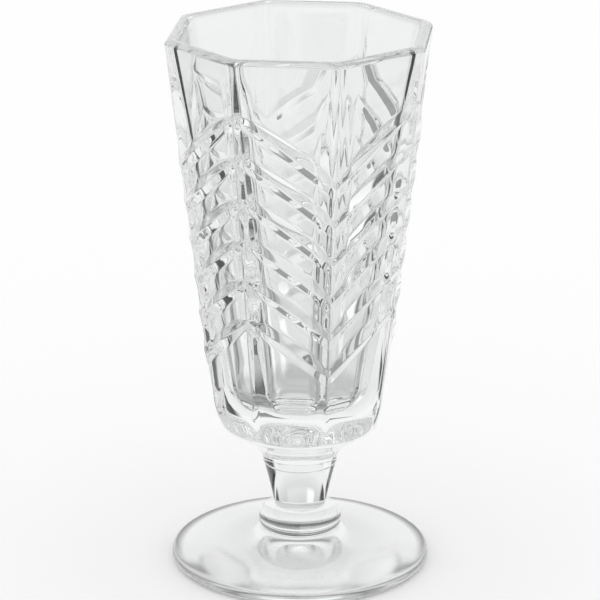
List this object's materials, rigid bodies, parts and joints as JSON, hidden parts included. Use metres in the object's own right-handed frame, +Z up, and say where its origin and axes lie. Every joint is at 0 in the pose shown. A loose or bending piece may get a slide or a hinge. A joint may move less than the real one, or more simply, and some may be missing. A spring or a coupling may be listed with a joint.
{
  "type": "vodka glass",
  "caption": "Footed vodka glass in clear pressed glass: octagonal tapered bowl with zigzag ribs, thick base, short round stem, domed collar and round foot.",
  "frame": {"origin": "centre of the foot's resting plane, on the glass's axis", "axes": "+Z up along the glass's axis from foot to rim; the octagon's faces are square to X and Y, and the ribs peak on the corners at 67.5 degrees from +X and every 90 degrees on"},
  "size_m": [0.0474, 0.0474, 0.1],
  "materials": {
    "clear_glass": "clear colourless pressed glass, fire polished"
  },
  "bodies": {
    "root": {"foot": "clear_glass", "collar": "clear_glass", "stem": "clear_glass", "bowl": "clear_glass"}
  },
  "joints": []
}
